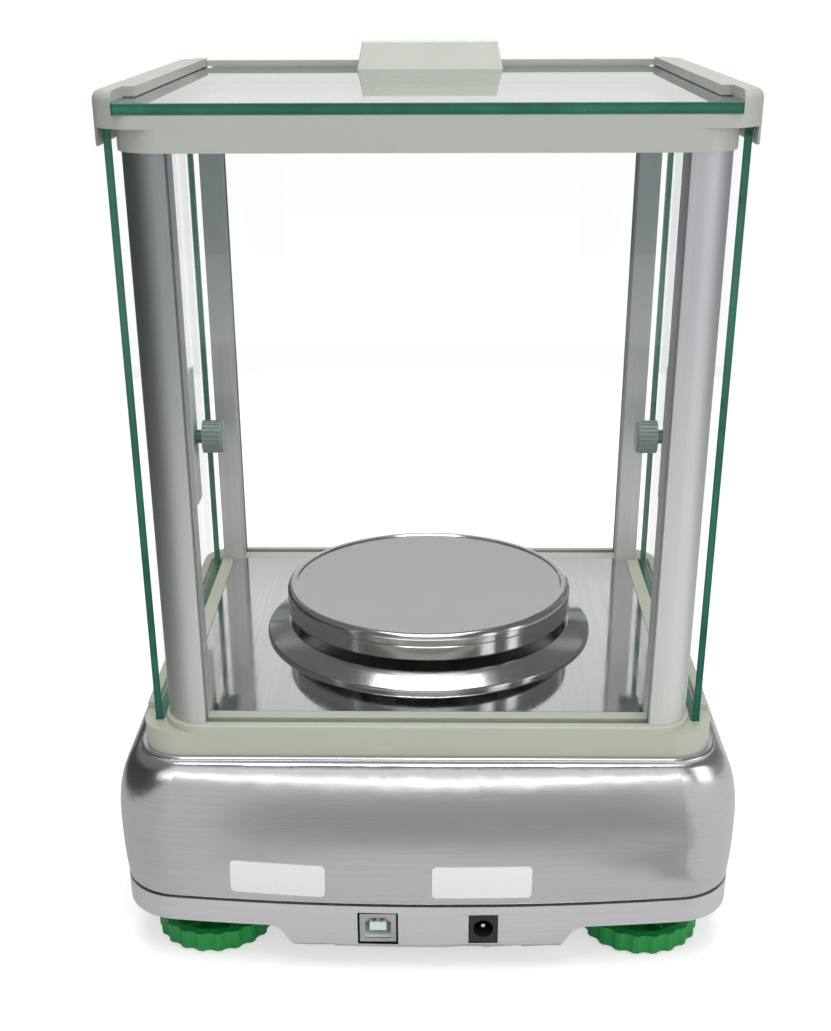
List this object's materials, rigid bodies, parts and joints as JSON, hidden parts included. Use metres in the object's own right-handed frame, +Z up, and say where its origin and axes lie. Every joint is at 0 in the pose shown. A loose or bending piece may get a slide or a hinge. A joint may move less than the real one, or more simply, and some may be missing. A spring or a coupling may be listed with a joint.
{
  "type": "laboratory scale",
  "caption": "Electronic laboratory scale with a stainless case, a round pan over a draft ring, a glass draft shield with sliding side doors and lid, a sloping key panel and levelling feet.",
  "frame": {"origin": "on the bench, under the middle of the case", "axes": "+Z up, the key panel faces -Y, the sockets face +Y, the user's right is +X"},
  "size_m": [0.205, 0.2908, 0.2791],
  "materials": {
    "brushed_cover": "horizontally brushed stainless steel",
    "tray_steel": "satin stainless steel",
    "mirror_steel": "mirror polished stainless steel",
    "ring_steel": "polished spun steel",
    "pan_steel": "satin stainless steel",
    "frame_plastic": "pale grey-green moulded ABS",
    "post_metal": "satin anodised extrusion",
    "pane_glass": "float glass with polished edges",
    "clear_bumper": "clear soft bumper",
    "handle_plastic": "pale moulded grip",
    "knob_plastic": "pale knurled knob",
    "wheel_green": "green moulded nylon",
    "zinc_steel": "zinc plated steel",
    "black_rubber": "soft rubber",
    "chassis_metal": "painted steel plate",
    "cell_metal": "milled aluminium",
    "board_green": "solder mask and components",
    "lead_black": "cable jacket",
    "usb_metal": "nickel plated sheet",
    "usb_plastic": "moulded contact block",
    "jack_black": "moulded socket",
    "pin_metal": "plated contact pin",
    "sticker": "blank white sticker",
    "bezel_plastic": "textured dark grey moulding",
    "window_plastic": "smoked window",
    "display_plastic": "liquid crystal module",
    "key_plastic": "pale grey key cap",
    "level_metal": "turned ring",
    "vial_green": "tinted level fluid"
  },
  "bodies": {
    "case": {"lower_tray": "tray_steel", "upper_cover": "brushed_cover", "rear_label_left": "sticker", "rear_label_right": "sticker", "chassis_plate": "chassis_metal", "support_pillars": "cell_metal", "chassis_screws": "zinc_steel", "post_screws": "zinc_steel", "load_cell": "cell_metal", "load_cell_screws": "zinc_steel", "pan_carrier": "cell_metal", "load_cell_lead": "lead_black", "main_board": "board_green", "board_screws": "zinc_steel", "usb_shell": "usb_metal", "usb_insert": "usb_plastic", "dc_jack": "jack_black", "dc_jack_pin": "pin_metal", "control_bezel": "bezel_plastic", "display_window": "window_plastic", "display_module": "display_plastic", "key_board": "board_green", "level_housing": "level_metal", "level_vial": "vial_green", "bottom_frame": "frame_plastic", "floor_plate": "mirror_steel", "rear_post_left": "post_metal", "rear_post_right": "post_metal", "front_post_left": "post_metal", "front_post_right": "post_metal", "rear_glass": "pane_glass", "front_glass": "pane_glass", "top_frame": "frame_plastic", "lid_bumpers": "clear_bumper"},
    "left_door": {"left_door_glass": "pane_glass", "left_door_handle": "handle_plastic", "left_door_knob": "knob_plastic"},
    "right_door": {"right_door_glass": "pane_glass", "right_door_handle": "handle_plastic", "right_door_knob": "knob_plastic"},
    "lid": {"lid_glass": "pane_glass", "lid_handle": "handle_plastic"},
    "ring": {"draft_ring": "ring_steel"},
    "pan": {"weighing_pan": "pan_steel"},
    "power_key": {"power_key": "key_plastic"},
    "mode_key": {"mode_key": "key_plastic"},
    "print_key": {"print_key": "key_plastic"},
    "tare_key": {"tare_key": "key_plastic"},
    "front_left_foot_pad": {"front_left_foot_pad": "black_rubber"},
    "front_left_foot_screw": {"front_left_foot_wheel": "wheel_green", "front_left_foot_stud": "zinc_steel"},
    "front_right_foot_pad": {"front_right_foot_pad": "black_rubber"},
    "front_right_foot_screw": {"front_right_foot_wheel": "wheel_green", "front_right_foot_stud": "zinc_steel"},
    "rear_left_foot_pad": {"rear_left_foot_pad": "black_rubber"},
    "rear_left_foot_screw": {"rear_left_foot_wheel": "wheel_green", "rear_left_foot_stud": "zinc_steel"},
    "rear_right_foot_pad": {"rear_right_foot_pad": "black_rubber"},
    "rear_right_foot_screw": {"rear_right_foot_wheel": "wheel_green", "rear_right_foot_stud": "zinc_steel"}
  },
  "joints": [
    {"name": "left_door_slide", "type": "slide", "parent": "case", "child": "left_door", "axis": [0, 1, 0], "range_m": [0, 0.1]},
    {"name": "right_door_slide", "type": "slide", "parent": "case", "child": "right_door", "axis": [0, 1, 0], "range_m": [0, 0.1]},
    {"name": "lid_slide", "type": "slide", "parent": "case", "child": "lid", "axis": [0, 1, 0], "range_m": [0, 0.12]},
    {"name": "ring_lift", "type": "slide", "parent": "case", "child": "ring", "axis": [0, 0, 1], "range_m": [0, 0.06]},
    {"name": "pan_lift", "type": "slide", "parent": "ring", "child": "pan", "axis": [0, 0, 1], "range_m": [0, 0.06]},
    {"name": "power_key_press", "type": "slide", "parent": "case", "child": "power_key", "axis": [0, 0.3714, -0.9285], "range_m": [0, 0.0008], "stiffness_N_per_m": 900},
    {"name": "mode_key_press", "type": "slide", "parent": "case", "child": "mode_key", "axis": [0, 0.3714, -0.9285], "range_m": [0, 0.0008], "stiffness_N_per_m": 900},
    {"name": "print_key_press", "type": "slide", "parent": "case", "child": "print_key", "axis": [0, 0.3714, -0.9285], "range_m": [0, 0.0008], "stiffness_N_per_m": 900},
    {"name": "tare_key_press", "type": "slide", "parent": "case", "child": "tare_key", "axis": [0, 0.3714, -0.9285], "range_m": [0, 0.0008], "stiffness_N_per_m": 900},
    {"name": "front_left_foot_height", "type": "slide", "parent": "case", "child": "front_left_foot_pad", "axis": [0, 0, -1], "range_m": [-0.004, 0.005]},
    {"name": "front_left_foot_turn", "type": "hinge", "parent": "front_left_foot_pad", "child": "front_left_foot_screw", "pos_m": [-0.074, -0.1154, 0], "axis": [0, 0, 1], "range_deg": [-1440, 1800]},
    {"name": "front_right_foot_height", "type": "slide", "parent": "case", "child": "front_right_foot_pad", "axis": [0, 0, -1], "range_m": [-0.004, 0.005]},
    {"name": "front_right_foot_turn", "type": "hinge", "parent": "front_right_foot_pad", "child": "front_right_foot_screw", "pos_m": [0.074, -0.1154, 0], "axis": [0, 0, 1], "range_deg": [-1440, 1800]},
    {"name": "rear_left_foot_height", "type": "slide", "parent": "case", "child": "rear_left_foot_pad", "axis": [0, 0, -1], "range_m": [-0.004, 0.005]},
    {"name": "rear_left_foot_turn", "type": "hinge", "parent": "rear_left_foot_pad", "child": "rear_left_foot_screw", "pos_m": [-0.074, 0.1154, 0], "axis": [0, 0, 1], "range_deg": [-1440, 1800]},
    {"name": "rear_right_foot_height", "type": "slide", "parent": "case", "child": "rear_right_foot_pad", "axis": [0, 0, -1], "range_m": [-0.004, 0.005]},
    {"name": "rear_right_foot_turn", "type": "hinge", "parent": "rear_right_foot_pad", "child": "rear_right_foot_screw", "pos_m": [0.074, 0.1154, 0], "axis": [0, 0, 1], "range_deg": [-1440, 1800]}
  ],
  "couplings": [
    {"joint": "front_left_foot_turn", "follows": "front_left_foot_height", "rad_per_m": 6283.2},
    {"joint": "front_right_foot_turn", "follows": "front_right_foot_height", "rad_per_m": 6283.2},
    {"joint": "rear_left_foot_turn", "follows": "rear_left_foot_height", "rad_per_m": 6283.2},
    {"joint": "rear_right_foot_turn", "follows": "rear_right_foot_height", "rad_per_m": 6283.2}
  ]
}
